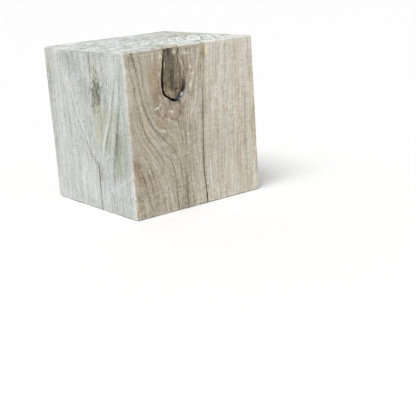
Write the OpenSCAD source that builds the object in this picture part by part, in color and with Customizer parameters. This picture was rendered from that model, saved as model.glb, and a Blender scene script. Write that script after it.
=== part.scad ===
// A block sawn from a boxed-heart oak post, with every arris sanded round.
// The grain and the pith run along +Z, so the sawn ends are the top and the bottom.
// The origin is the middle of the bottom end. The front is -Y and the left is -X.
// The front holds a dead knot, which the sawn top end cuts across, and a drying check
// over the full height. The left face holds two short checks, one from each end.

/* [Block] */
// Width of the front face
block_w = 97; // [70:1:160]
// Depth from the front face to the back face
block_d = 94; // [70:1:160]
// Height along the grain
block_h = 100; // [70:1:200]

/* [Edges] */
// Radius of the four upright arrises
side_round = 2; // [0.5:0.1:6]
// Radius of the arrises round the two sawn ends
end_round = 1.6; // [0.5:0.1:6]
// Distance that sanding took off each of the eight corners, along its diagonal
corner_cut = 2; // [0.5:0.1:4]

/* [Pith] */
// Place of the pith, to the right of the block's middle
pith_x = 7.5; // [-15:0.5:15]
// Place of the pith, behind the block's middle: below 0 it is in front
pith_y = -8; // [-15:0.5:15]

/* [Front check] */
// Mouth of the front check where it is widest
front_check_w = 1.3; // [0.4:0.1:3]
// Depth of the front check at its foot, towards the pith
front_check_depth = 28; // [8:1:35]

/* [Left checks] */
// Mouth of the lower left check at the bottom end
left_foot_w = 0.9; // [0.3:0.1:3]
// Depth of the lower left check at the bottom end
left_foot_depth = 18; // [6:1:35]
// Length of the lower left check up from the bottom end
left_foot_len = 31; // [10:1:50]
// Mouth of the upper left check at the top end
left_top_w = 0.5; // [0.3:0.1:3]
// Depth of the upper left check at the top end
left_top_depth = 10; // [6:1:35]
// Length of the upper left check down from the top end
left_top_len = 18; // [8:1:50]

/* [Knot] */
// Middle of the knot, to the right of the block's middle
knot_x = -15; // [-20:0.5:-12]
// Greatest width of the knot on the front face
knot_w = 16; // [10:0.5:18]
// Length of the knot down the front face from the top end
knot_len = 32; // [20:1:50]
// Reach of the knot back across the top end from the front face
knot_reach = 15; // [8:1:25]
// Depth of the knot's dished face below the front face, at its lower left
knot_sink = 0.9; // [0.3:0.1:2]
// Width of the gap that the lost bark left down the knot's side
bark_gap_w = 1.1; // [0.4:0.1:2]
// Depth of the bark gap, along the knot
bark_gap_depth = 7; // [3:0.5:12]
// Angle below level at which the knot runs in towards the pith
knot_dip = 45; // [25:1:65]

/* [Bead] */
// Length of the hard bead of gum in the foot of the bark gap
bead_len = 5.2; // [3:0.1:7]
// Thickness of the bead
bead_w = 2.6; // [1.5:0.1:3.5]
// Slope of the bead, up to the right
bead_slope = 47; // [0:1:80]
// Room between the bead and the wood round it
bead_room = 0.3; // [0.1:0.1:0.8]
// Depth of the bead's crest below the front face
bead_sink = 0.3; // [0:0.1:0.6]

/* [Broken arris] */
// Length of the break in the bottom arris, ending at the front check
chip_len = 7; // [3:0.5:15]
// Height of the break up the front face
chip_h = 1.8; // [1:0.1:4]
// Depth of the break into the bottom end
chip_d = 2.4; // [1:0.1:4]

/* [Hidden] */
wood = "#c3b8a4";
$fn = 64;

front_y = -block_d / 2;
left_x = -block_w / 2;
// How far each cutting shape stands out of the wood, so that it cuts clean through
past = 1;
// Rings between two rows of a route
ring_steps = 3;
// Random wander of a check's two lips
ragged = 0.08;
// Thinnest mouth of a check
hair = 0.12;

// Rows of a check: height, wander to the right of the pith, width, depth.
// Heights, widths and depths are shares of the check's own sizes.
front_check_route = [
    [-0.04, -2.2, 0.9, 1],
    [0.01, -2.3, 0.9, 1],
    [0.06, -2.4, 1, 0.95],
    [0.085, -2.8, 0.45, 0.9],
    [0.13, -3, 0.4, 0.85],
    [0.2, -3.7, 0.4, 0.8],
    [0.3, -3.3, 0.35, 0.7],
    [0.4, -2.8, 0.35, 0.65],
    [0.5, -2.2, 0.3, 0.6],
    [0.6, -1.5, 0.3, 0.55],
    [0.7, -0.7, 0.25, 0.45],
    [0.8, 0.7, 0.2, 0.4],
    [0.9, 1.8, 0.15, 0.35],
    [0.97, 3, 0.2, 0.35],
    [1.04, 4.1, 0.25, 0.35]
];
left_foot_route = [
    [-0.1, 0.6, 1, 1],
    [0.15, 0.5, 1, 1],
    [0.4, 0.4, 0.8, 0.8],
    [0.6, 0.3, 0.6, 0.6],
    [0.75, 0.8, 0.7, 0.5],
    [0.9, 0.8, 0.5, 0.3],
    [1, 0.4, 0.1, 0.1]
];
left_top_route = [
    [-0.1, 1.2, 1, 1],
    [0.2, 1, 1, 0.9],
    [0.5, 1.1, 0.8, 0.7],
    [0.75, 0.7, 0.7, 0.4],
    [1, 0.2, 0.2, 0.1]
];

// Rows of the bark gap, once round the knot. It starts on the front face near the top
// end, goes over the arris, round the knot's back on the top end, over the arris again,
// down the knot's left side and round its foot. It ends on the right side, above which
// the knot has grown into the wood.
// Across, down and back as shares of the knot, then width and depth of the gap.
bark_gap_route = [
    [0.34, 0.17, 0, 0.2, 0.1],
    [0.32, 0.08, 0, 0.5, 0.3],
    [0.31, 0, 0, 0.6, 0.4],
    [0.42, 0, 0.2, 0.4, 0.3],
    [0.56, 0, 0.5, 0.4, 0.3],
    [0.6, 0, 0.8, 0.5, 0.4],
    [0.47, 0, 0.97, 0.7, 0.5],
    [0.22, 0, 1, 0.8, 0.5],
    [0, 0, 0.9, 0.6, 0.4],
    [-0.1, 0, 0.66, 0.5, 0.4],
    [-0.2, 0, 0.33, 0.6, 0.4],
    [-0.32, 0, 0, 0.6, 0.5],
    [-0.33, 0.06, 0, 0.4, 0.5],
    [-0.37, 0.2, 0, 0.6, 0.6],
    [-0.44, 0.4, 0, 0.9, 0.8],
    [-0.49, 0.62, 0, 1, 1],
    [-0.48, 0.78, 0, 1.1, 1],
    [-0.42, 0.86, 0, 1, 1],
    [-0.26, 0.92, 0, 0.9, 0.9],
    [-0.17, 0.955, 0, 1, 0.9],
    [-0.05, 0.98, 0, 1.2, 0.9],
    [0.1, 0.985, 0, 1.3, 0.8],
    [0.22, 0.955, 0, 1.4, 0.8],
    [0.36, 0.88, 0, 1.5, 0.7],
    [0.45, 0.79, 0, 1.6, 0.6],
    [0.5, 0.71, 0, 1.5, 0.5],
    [0.52, 0.64, 0, 0.5, 0.3]
];
// The row at which the bark gap starts down the knot's left side
gap_left_row = 12;
// The knot's grown-in right edge, across and down, from the end of the gap to the top
knot_right_edge = [[0.45, 0.55], [0.38, 0.38], [0.32, 0.2], [0.26, 0], [0.24, -0.12]];
// Where the knot's face lies deepest, and where it is flush with the front face
deep_place = [-0.48, 0.78];
flush_place = [0.3, 0.05];
// Middle of the bead, across and down the knot
bead_place = [0.31, 0.89];

// Smooth curve through a table's rows, at a place counted in rows
function curve(rows, place) =
    let (
        last = len(rows) - 1,
        i = min(floor(place), last - 1),
        t = place - i,
        a = rows[max(i - 1, 0)],
        b = rows[i],
        c = rows[i + 1],
        d = rows[min(i + 2, last)]
    )
    b + t / 2 * (c - a + t * (2 * a - 5 * b + 4 * c - d + t * (3 * b - 3 * c + d - a)));

function rings_of(rows) = (len(rows) - 1) * ring_steps;

function unit(v) = v / norm(v);

// Closed skin over a list of rings that hold the same number of points
module loft(rings) {
    n = len(rings[0]);
    last = len(rings) - 1;
    polyhedron(
        points = [for (ring = rings) each ring],
        faces = [
            [for (i = [0 : n - 1]) i],
            for (k = [0 : last - 1], i = [0 : n - 1])
                let (j = (i + 1) % n, low = k * n, high = low + n)
                    each [[low + i, high + i, high + j], [low + i, high + j, low + j]],
            [for (i = [n - 1 : -1 : 0]) last * n + i]
        ]
    );
}

// Rectangle about the origin with its corners rounded
module rounded_plan(w, d, r) {
    square([w - 2 * r, d], center = true);
    square([w, d - 2 * r], center = true);
    for (x = [-1, 1], y = [-1, 1])
        translate([x * (w / 2 - r), y * (d / 2 - r)]) circle(r);
}

// The sawn block, with its arrises and corners sanded
module sanded_block() {
    mid = block_h / 2;
    half_diagonal = norm([block_w, block_d, block_h]) / 2;
    intersection() {
        linear_extrude(block_h) rounded_plan(block_w, block_d, side_round);
        translate([0, 0, mid]) rotate([90, 0, 0])
            linear_extrude(block_d, center = true) rounded_plan(block_w, block_h, end_round);
        translate([0, 0, mid]) rotate([90, 0, 90])
            linear_extrude(block_w, center = true) rounded_plan(block_d, block_h, end_round);
        translate([0, 0, mid]) sphere(half_diagonal - corner_cut);
    }
}

// A drying check cut into the face at -Y: a wedge that aims at the pith.
// A run below 0 starts at the top end and goes down.
module check(route, face_y, pith, start, run, mouth, depth, seed) {
    count = rings_of(route);
    wander = rands(-ragged, ragged, 2 * count + 2, seed);
    loft([
        for (k = [0 : count])
            let (
                row = curve(route, k / ring_steps),
                lip = [pith.x + row[1], face_y],
                inward = unit(pith - lip),
                across = [inward.y, -inward.x],
                deep = max(row[3], hair) * depth,
                half = max(row[2] * mouth, hair) / 2 * (deep + past) / deep,
                out = lip - inward * past,
                tip = lip + inward * deep,
                left = out - across * (half + wander[2 * k] * row[2]),
                right = out + across * (half + wander[2 * k + 1] * row[2]),
                z = start + row[0] * run
            )
                run > 0
                    ? [[left.x, left.y, z], [right.x, right.y, z], [tip.x, tip.y, z]]
                    : [[left.x, left.y, z], [tip.x, tip.y, z], [right.x, right.y, z]]
    ]);
}

module front_check() {
    check(front_check_route, front_y, [pith_x, pith_y], 0, block_h,
        front_check_w, front_check_depth, 3);
}

// The left face is turned to the front, with its pith, and turned back once cut
module left_checks() {
    turned_pith = [-pith_y, pith_x];
    rotate([0, 0, -90]) {
        check(left_foot_route, left_x, turned_pith, 0, left_foot_len,
            left_foot_w, left_foot_depth, 5);
        check(left_top_route, left_x, turned_pith, block_h, -left_top_len,
            left_top_w, left_top_depth, 8);
    }
}

// A place on the knot, across it, down it and inwards from the front face
function on_knot(across, down, inward) =
    [knot_x + across * knot_w, front_y + inward, block_h - down * knot_len];

function on_gap(row) = on_knot(row[0], row[1], row[2] * knot_reach);

// The slot that the lost bark left: a wedge swept round the knot, sloping in with it
module bark_gap() {
    last = len(bark_gap_route) - 1;
    inward = [0, cos(knot_dip), -sin(knot_dip)];
    step = 0.1;
    outward = past / min(inward.y, -inward.z);
    loft([
        for (k = [0 : rings_of(bark_gap_route)])
            let (
                row = curve(bark_gap_route, k / ring_steps),
                place = min(k / ring_steps, last - step),
                here = on_gap(curve(bark_gap_route, place)),
                next = on_gap(curve(bark_gap_route, place + step)),
                side = unit(cross(next - here, inward)),
                deep = row[4] * bark_gap_depth,
                half = row[3] * bark_gap_w / 2 * (deep + outward) / deep,
                lip = on_gap(row),
                out = lip - inward * outward
            )
                [out + side * half, out - side * half, lip + inward * deep]
    ]);
}

// The knot's dished face, between the bark gap and the grown-in right edge. Its floor
// tilts about the flush place, down to the full sink at the deepest place.
module knot_face() {
    gap_line = [
        for (k = [gap_left_row * ring_steps : rings_of(bark_gap_route)])
            let (row = curve(bark_gap_route, k / ring_steps))
                [row[0], row[1]]
    ];
    edge = [for (k = [0 : rings_of(knot_right_edge)]) curve(knot_right_edge, k / ring_steps)];
    top_left = [gap_line[0].x, edge[len(edge) - 1].y];
    outline = [top_left, each gap_line, each edge];
    flush = on_knot(flush_place.x, flush_place.y, 0);
    slope = on_knot(deep_place.x, deep_place.y, 0) - flush;
    translate(flush)
        rotate(atan(knot_sink / norm(slope)), v = cross(slope, [0, 1, 0]))
            rotate([90, 0, 0])
                linear_extrude(knot_sink + past)
                    polygon([
                        for (p = outline)
                            let (place = on_knot(p.x, p.y, 0) - flush) [place.x, place.z]
                    ]);
}

// A stadium-shaped solid along the bead's line, grown by a margin
module bead_shape(margin, inward) {
    half = (bead_len - bead_w) / 2;
    middle = on_knot(bead_place.x, bead_place.y, inward);
    hull()
        for (end = [-1, 1])
            translate(middle + end * half * [cos(bead_slope), 0, sin(bead_slope)])
                sphere(bead_w / 2 + margin, $fn = 24);
}

// The break in the bottom arris: a sliver lost along the grain, deepest at its left
module chip() {
    foot_wander = curve(front_check_route, 1)[1];
    rows = [[-1, 0.1], [-0.9, 1], [-0.5, 0.7], [-0.1, 0.6], [0, 0.3]];
    translate([pith_x + foot_wander, front_y, 0])
        loft([
            for (row = rows)
                let (x = row[0] * chip_len, up = row[1] * chip_h, deep = row[1] * chip_d)
                    [[x, -past, -past], [x, -past, up + past], [x, deep + past, -past]]
        ]);
}

// The whole block with its checks, knot and broken arris
module wood_cube() {
    crest = bead_sink + bead_w / 2;
    color(wood) {
        difference() {
            sanded_block();
            front_check();
            left_checks();
            bark_gap();
            knot_face();
            bead_shape(bead_room, crest - bead_room);
            chip();
        }
        bead_shape(0, crest);
    }
}

wood_cube();
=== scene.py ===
import math

import bmesh
import bpy
import numpy as np
from mathutils import Matrix, Vector


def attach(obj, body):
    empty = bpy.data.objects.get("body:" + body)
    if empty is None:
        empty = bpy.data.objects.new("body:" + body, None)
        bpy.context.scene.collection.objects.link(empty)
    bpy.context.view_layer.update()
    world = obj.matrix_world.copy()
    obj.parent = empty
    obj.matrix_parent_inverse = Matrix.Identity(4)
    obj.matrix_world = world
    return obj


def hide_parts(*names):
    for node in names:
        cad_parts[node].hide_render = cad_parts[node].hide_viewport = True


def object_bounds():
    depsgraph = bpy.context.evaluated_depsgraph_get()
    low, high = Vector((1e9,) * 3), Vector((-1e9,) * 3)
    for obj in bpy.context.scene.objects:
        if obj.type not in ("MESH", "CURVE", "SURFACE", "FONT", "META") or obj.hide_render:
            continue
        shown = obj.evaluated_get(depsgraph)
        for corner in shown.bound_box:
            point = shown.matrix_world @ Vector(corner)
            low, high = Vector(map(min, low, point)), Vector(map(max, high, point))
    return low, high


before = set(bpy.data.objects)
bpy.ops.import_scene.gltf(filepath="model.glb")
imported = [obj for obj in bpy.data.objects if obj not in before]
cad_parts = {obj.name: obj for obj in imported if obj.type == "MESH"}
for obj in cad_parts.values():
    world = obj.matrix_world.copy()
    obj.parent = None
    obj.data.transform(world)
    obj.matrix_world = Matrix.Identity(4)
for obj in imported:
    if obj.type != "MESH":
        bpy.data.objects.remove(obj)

# A limed oak block with a dead knot and drying checks, on a pale floor.
# Lengths are in millimetres in the row frame, and become metres in make_mesh(). The
# stage and the camera are in metres.

MM = 0.001
CAD_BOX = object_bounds()
LOW = np.array(CAD_BOX[0]) / MM
HIGH = np.array(CAD_BOX[1]) / MM
MIDDLE = (LOW + HIGH) / 2
HALF = (HIGH - LOW) / 2
FRONT_Y = LOW[1]
LEFT_X = LOW[0]
TOP_Z = HIGH[2]


# ---------------------------------------------------------------- numbers


def smooth(low, high, value):
    """0 below low, 1 above high, and a smooth rise between"""
    t = np.clip((value - low) / (high - low), 0, 1)
    return t * t * (3 - 2 * t)


def hashed(x, y, z, seed):
    """Repeatable random numbers from 0 to 1 at whole-number places"""
    n = x.astype(np.uint32) * np.uint32(73856093)
    n ^= y.astype(np.uint32) * np.uint32(19349663)
    n ^= z.astype(np.uint32) * np.uint32(83492791)
    n ^= np.uint32(seed * 668265263 & 0xFFFFFFFF)
    n = (n ^ (n >> np.uint32(13))) * np.uint32(1274126177)
    n = (n ^ (n >> np.uint32(16))) * np.uint32(2246822519)
    return (n >> np.uint32(8)) / float(1 << 24)


def noise(points, cell, seed):
    """Smooth noise from -1 to 1. cell is the size of its lumps along x, y and z."""
    p = points / np.array(cell, dtype=float)
    base = np.floor(p).astype(np.int64)
    t = p - base
    t = t * t * (3 - 2 * t)
    total = np.zeros(len(p))
    for corner in range(8):
        step = np.array([corner & 1, corner >> 1 & 1, corner >> 2 & 1])
        weight = np.prod(np.where(step, t, 1 - t), axis=1)
        total += weight * hashed(*(base + step).T, seed)
    return total * 2 - 1


def curve(rows, places):
    """Smooth curve through a table's rows, at places counted in rows"""
    rows = np.asarray(rows, dtype=float)
    last = len(rows) - 1
    i = np.minimum(np.floor(places).astype(int), last - 1)
    t = (places - i)[:, None]
    a = rows[np.maximum(i - 1, 0)]
    b = rows[i]
    c = rows[i + 1]
    d = rows[np.minimum(i + 2, last)]
    return b + t / 2 * (c - a + t * (2 * a - 5 * b + 4 * c - d + t * (3 * b - 3 * c + d - a)))


# ---------------------------------------------------------------- the tree

# Place of the pith, seen from above
PITH = np.array([7.5, -8.0])
# Where the pith comes out of the top end, the way in which the rings round it are drawn
# out, and how much
TOP_PITH = np.array([22.5, -20.0])
DRAWN_WAY = np.array([0.6, 0.8])
DRAWN_OUT = 4.4
# The dead knot: its middle, its width and its length down the front, and its reach back
KNOT_X = -15.0
KNOT_W = 16.0
KNOT_LEN = 32.0
KNOT_REACH = 15.0
# Distance between the even rings, and the radius of the one that runs into the left face
RING_GAP = 2.9
FIRST_RING = 56.2
# Radius of each ring of the wide-ringed heart, out to where the even ones begin
HEART_RINGS = [-3.5, 3.5, 10.5, 15.5, 20.2, 24.6, 28.6, 32.2, 35.6, 38.8]

# Paths of the fibres up the front face, in mm right of its left arris, at every
# tenth of the block's height. The first number is where the fibre would run in a
# trunk without knots.
FIBRES = [
    (-20, [-20, -21, -22, -24, -27, -30, -33, -35, -37, -39, -41]),
    (16, [16, 15.2, 13.2, 10.2, 6.6, 3, 0.5, -1.5, -3, -4.5, -6]),
    (31, [31, 31, 30, 26, 19, 11.5, 9.3, 7.6, 6, 3.2, 1]),
    (35, [35, 34.7, 34.3, 32.5, 28, 20.5, 14.5, 11, 9.5, 8.2, 7]),
    (36.5, [36.5, 36.4, 36.2, 35.3, 32.8, 27, 17.5, 14, 12.3, 12, 12]),
    (38, [38, 38, 38, 37.4, 36, 32.5, 24.5, 19.5, 17.2, 17, 18]),
    (39.2, [39.2, 39.2, 39.2, 39, 38.2, 36, 31.5, 27.5, 25, 26.5, 28]),
    (40.5, [40.5, 40.5, 40.3, 40, 39.6, 39.6, 40.2, 42.4, 44, 41.5, 40]),
    (45, [45, 45, 45, 44.8, 44.2, 44, 45, 46.8, 48, 49, 50]),
    (50, [50, 49.6, 49, 49, 49.4, 50, 50.6, 51.6, 53, 54, 55.2]),
    (54, [54, 53.4, 52.5, 53, 53.6, 54.2, 54.9, 55.7, 57, 58, 59.5]),
    (70, [70, 70.4, 70.8, 71.3, 71.8, 72.3, 72.8, 73.4, 74, 74.6, 75.2]),
    (95, [95, 95.3, 95.7, 96, 96.4, 96.8, 97.2, 97.6, 98, 98.4, 98.8]),
    (140, [140, 140.4, 140.8, 141.2, 141.6, 142, 142.4, 142.8, 143.2, 143.6, 144]),
]


def unbent(across, height):
    """Where a fibre at a place on the front face would run in a straight trunk, and
    how far the fibres there are spread"""
    straight = np.array([line[0] for line in FIBRES])
    rows = np.array([line[1] for line in FIBRES]).T
    share = np.clip(height / (HIGH[2] - LOW[2]), 0, 1)
    at = curve(rows, share * (len(rows) - 1))
    i = np.clip(np.sum(at <= across[:, None], axis=1) - 1, 0, len(FIBRES) - 2)
    n = np.arange(len(across))
    a, b = at[n, i], at[n, i + 1]
    spread = (b - a) / (straight[i + 1] - straight[i])
    return straight[i] + (across - a) / spread, spread


def ring_count(rings):
    """Rings counted outwards, 0 at the one that runs into the left face"""
    even = (rings - FIRST_RING) / RING_GAP
    start = (HEART_RINGS[-1] - FIRST_RING) / RING_GAP
    counts = start + np.arange(len(HEART_RINGS)) - (len(HEART_RINGS) - 1)
    return np.where(rings < HEART_RINGS[-1], np.interp(rings, HEART_RINGS, counts), even)


def tree_field(points):
    """For each point: its place in the straight trunk that the knots have bent, its
    distance out among the rings, and how far its fibres are spread"""
    x, y, z = points.T
    from_front = np.maximum(y - FRONT_Y, 0)
    from_left = np.maximum(x - LEFT_X, 0)
    straight, spread = unbent(x - LEFT_X, z)
    reach = 3 + 11 * smooth(2, 22, from_left)
    held = np.exp(-((from_front / reach) ** 2))
    wander = 0.35 * noise(points, (14, 14, 45), 11) + 0.2 * noise(points, (5, 5, 20), 12)
    at_top = smooth(HIGH[2] - 1.6, HIGH[2] - 0.5, z)
    pith = PITH + (TOP_PITH - PITH) * at_top[:, None]
    across = (LEFT_X + straight - x) * held + x - pith[:, 0] + wander
    back = y - pith[:, 1] + 0.35 * noise(points, (14, 14, 45), 13)
    radius = np.hypot(across, back)
    outward = across * DRAWN_WAY[0] + back * DRAWN_WAY[1]
    drawn = 1 + DRAWN_OUT * at_top * np.exp(-((radius / 34) ** 2))
    radius = np.sqrt(np.maximum(radius**2 - outward**2, 0) + (outward / drawn) ** 2)
    radius += at_top * (2 + 0.6 * noise(points, (9, 9, 40), 15))
    # rings swell outwards below a whorl of branches, most round the dead knot
    swell = 0.0125 * np.clip(z - 26, 0, None) ** 1.5 * np.exp(-from_left / 22)
    near = ((x - KNOT_X) / 13) ** 2 + (np.maximum(80 - z, 0) / 15) ** 2
    swell += 7 * np.exp(-1.2 * near) * np.exp(-from_front / 14)
    taper = 0.025 * (z - 50) * smooth(25, 70, from_left)
    rings = radius - swell - taper + 0.2 * noise(points, (21, 21, 40), 14)
    place = np.column_stack([across, back, z])
    return place, rings, np.log2(np.clip(1 + (spread - 1) * held, 1, 8))


# ---------------------------------------------------------------- the block

# Radius of the sanded arrises
ARRIS = 1.5


def grid_lines(low, high, dense_from, dense_to, fine, coarse):
    """Places of grid lines from face to face: fine within the dense stretch, coarse
    elsewhere, and evenly round the two arrises"""
    turns = np.tan(np.radians(np.array([0, 9, 18, 27, 36, 45]))) * ARRIS
    start = low + ARRIS
    end = high - ARRIS
    stops = [start, np.clip(dense_from, start, end), np.clip(dense_to, start, end), end]
    lines = [low + ARRIS - turns[:0:-1]]
    for a, b, step in zip(stops, stops[1:], (coarse, fine, coarse)):
        count = int(round((b - a) / step))
        if count:
            lines.append(np.linspace(a, b, count, endpoint=False))
    lines.append(high - ARRIS + turns)
    return np.concatenate(lines)


def box_grid(xs, ys, zs):
    """Points and quads over the six faces of the box that the lines span"""
    index = {}
    points = []

    def point(i, j, k):
        key = (i, j, k)
        if key not in index:
            index[key] = len(points)
            points.append((xs[i], ys[j], zs[k]))
        return index[key]

    quads = []
    nx, ny, nz = len(xs) - 1, len(ys) - 1, len(zs) - 1
    for i in range(nx):
        for j in range(ny):
            low = [point(i, j, 0), point(i, j + 1, 0), point(i + 1, j + 1, 0), point(i + 1, j, 0)]
            high = [point(i, j, nz), point(i + 1, j, nz), point(i + 1, j + 1, nz), point(i, j + 1, nz)]
            quads += [low, high]
        for k in range(nz):
            front = [point(i, 0, k), point(i + 1, 0, k), point(i + 1, 0, k + 1), point(i, 0, k + 1)]
            rear = [point(i, ny, k), point(i, ny, k + 1), point(i + 1, ny, k + 1), point(i + 1, ny, k)]
            quads += [front, rear]
    for j in range(ny):
        for k in range(nz):
            left = [point(0, j, k), point(0, j, k + 1), point(0, j + 1, k + 1), point(0, j + 1, k)]
            right = [point(nx, j, k), point(nx, j + 1, k), point(nx, j + 1, k + 1), point(nx, j, k + 1)]
            quads += [left, right]
    return np.array(points), quads


def sanded(points):
    """The box's points moved onto its sanded, rounded form, and the way out at each"""
    radius = ARRIS + 0.2 * noise(points, (31, 31, 31), 21) + 0.1 * noise(points, (6, 6, 6), 22)
    inner = HALF - radius[:, None]
    centred = points - MIDDLE
    core = np.clip(centred, -inner, inner)
    out = centred - core
    out /= np.linalg.norm(out, axis=1)[:, None]
    return MIDDLE + core + out * radius[:, None], out


def relief(points, out):
    """Depth of the worn surface below the sanded one: hollows, rings and torn grain"""
    place, rings, _ = tree_field(points)
    wave = np.cos(2 * np.pi * ring_count(rings))
    end = np.abs(out[:, 2])
    depth = 0.09 + 0.05 * noise(points, (23, 23, 31), 31)
    depth += (0.015 + 0.035 * end) * wave
    depth += 0.02 * noise(place, (1.6, 1.6, 22), 32)
    return np.clip(depth, 0, None)


def make_mesh(name, points, faces):
    mesh = bpy.data.meshes.new(name)
    mesh.from_pydata((np.asarray(points) * MM).tolist(), [], [list(f) for f in faces])
    mesh.validate()
    return mesh


def make_object(name, mesh):
    obj = bpy.data.objects.new(name, mesh)
    bpy.context.scene.collection.objects.link(obj)
    return obj


# ---------------------------------------------------------------- cuts in the block

# Rows of a check: share of its length, wander off the pith's line, width, depth
FRONT_CHECK = [
    [-0.04, -2.2, 1.17, 28], [0.01, -2.3, 1.17, 28], [0.06, -2.4, 1.3, 26.6], [0.085, -2.8, 0.58, 25.2],
    [0.13, -3, 0.52, 23.8], [0.2, -3.7, 0.52, 22.4], [0.3, -3.3, 0.46, 19.6], [0.4, -2.8, 0.46, 18.2],
    [0.5, -2.2, 0.39, 16.8], [0.6, -1.5, 0.37, 15.4], [0.7, -0.7, 0.25, 12.6], [0.8, 0.7, 0.19, 11.2],
    [0.9, 1.8, 0.17, 9.8], [0.97, 3, 0.26, 9.8], [1.04, 4.1, 0.32, 9.8],
]
LEFT_FOOT = [
    [-0.1, 0.6, 0.9, 18], [0.15, 0.5, 0.9, 18], [0.4, 0.4, 0.72, 14.4], [0.6, 0.3, 0.54, 10.8],
    [0.75, 0.8, 0.63, 9], [0.9, 0.8, 0.45, 5.4], [1, 0.4, 0.09, 1.8],
]
LEFT_TOP = [
    [-0.1, 1.2, 0.36, 10], [0.2, 1, 0.36, 9], [0.5, 1.1, 0.36, 7], [0.75, 0.7, 0.3, 4], [1, 0.2, 0.1, 1],
]
# Where each check starts, and its run up from there
FRONT_RUN = (LOW[2], TOP_Z - LOW[2])
LEFT_FOOT_RUN = (LOW[2], 31)
LEFT_TOP_RUN = (TOP_Z, -18)
# Rows of the bark gap, once round the knot: across, down, back, width, depth.
# The first three are shares of the knot's width, length and reach.
BARK_GAP = [
    [0.34, 0.17, 0, 0.22, 0.7], [0.32, 0.08, 0, 0.55, 2.1], [0.31, 0, 0, 0.66, 2.8],
    [0.42, 0, 0.2, 0.44, 2.1], [0.56, 0, 0.5, 0.44, 2.1], [0.6, 0, 0.8, 0.55, 2.8],
    [0.47, 0, 0.97, 0.77, 3.5], [0.22, 0, 1, 0.88, 3.5], [0, 0, 0.9, 0.66, 2.8],
    [-0.1, 0, 0.66, 0.55, 2.8], [-0.2, 0, 0.33, 0.66, 2.8], [-0.32, 0, 0, 0.66, 3.5],
    [-0.33, 0.06, 0, 0.44, 3.5], [-0.37, 0.2, 0, 0.66, 4.2], [-0.44, 0.4, 0, 0.99, 5.6],
    [-0.49, 0.62, 0, 1.1, 7], [-0.48, 0.78, 0, 1.21, 7], [-0.42, 0.86, 0, 1.1, 7],
    [-0.26, 0.92, 0, 0.99, 6.3], [-0.17, 0.955, 0, 1.1, 6.3], [-0.05, 0.98, 0, 1.32, 6.3],
    [0.1, 0.985, 0, 1.43, 5.6], [0.22, 0.955, 0, 1.54, 5.6], [0.36, 0.88, 0, 1.65, 4.9],
    [0.45, 0.79, 0, 1.76, 4.2], [0.5, 0.71, 0, 1.65, 3.5], [0.52, 0.64, 0, 0.55, 2.1],
]
# The gap's first rows on the top end, and on the knot's left side
GAP_TOP_ROW = 2
GAP_LEFT_ROW = 12
# The knot's right edge, above the end of the gap: across and down, as shares
KNOT_RIGHT_EDGE = [[0.45, 0.55], [0.38, 0.38], [0.32, 0.2], [0.26, 0], [0.24, -0.12]]
EDGE_POINTS = 30
# How steeply the gap runs down into the wood
KNOT_DIP = math.radians(45)
# Where the knot's face is level with the front, where it is deepest, as shares across
# and down, and how much deeper it is there in mm
FLUSH = np.array([0.3, 0.05])
DEEPEST = np.array([-0.48, 0.78])
KNOT_SINK = 0.9
# The break in the bottom arris, left of the front check: where it ends off the pith's
# line, its length, height and depth, and rows of place along it and size, as shares
CHIP_WANDER = -2.3
CHIP_LEN = 7
CHIP_HIGH = 1.8
CHIP_DEEP = 2.4
CHIP = [[-1, 0.1], [-0.9, 1], [-0.5, 0.7], [-0.1, 0.6], [0, 0.3]]
# How far a cutter stands out of the wood, and the shares of a cut's depth at which its
# walls have points
PAST = 1.0
WALL_STEPS = [0.0, 0.03, 0.1, 0.25, 0.5]
# Thinnest mouth of a check, and the height between two of its rings
HAIR = 0.12
RING_STEP = 0.7


def wedge_rings(lips, sides, inward, widths, depths, seed):
    """Rings of a wedge-shaped cut, with ragged walls: out along one wall, in along the
    other. Each ring ends at the cut's root."""
    rings = []
    for k, (lip, side, way, width, depth) in enumerate(zip(lips, sides, inward, widths, depths)):
        walls = []
        for sign in (1, -1):
            wall = []
            for run in [-PAST] + [share * depth for share in WALL_STEPS]:
                place = np.array([[k * 0.9 + 50 * sign, run * 0.5, seed * 7.0]])
                rough = 0.12 * noise(place, (1.5, 1.5, 1), seed)[0] * min(1, width)
                half = width / 2 * (1 - run / depth) + rough * (run < depth * 0.9)
                wall.append(lip + way * run + side * sign * max(half, 0.02))
            walls.append(wall)
        rings.append(walls[0] + [lip + way * depth] + walls[1][::-1])
    return rings


def loft(name, rings):
    """Closed mesh over rings that hold the same number of points"""
    n = len(rings[0])
    points = [p for ring in rings for p in ring]
    faces = [list(range(n))[::-1], [(len(rings) - 1) * n + i for i in range(n)]]
    for k in range(len(rings) - 1):
        for i in range(n):
            j = (i + 1) % n
            faces.append([k * n + i, k * n + j, (k + 1) * n + j, (k + 1) * n + i])
    mesh = make_mesh(name, points, faces)
    bm = bmesh.new()
    bm.from_mesh(mesh)
    bmesh.ops.triangulate(bm, faces=bm.faces)
    bmesh.ops.recalc_face_normals(bm, faces=bm.faces)
    bm.to_mesh(mesh)
    bm.free()
    return make_object(name, mesh)


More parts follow.
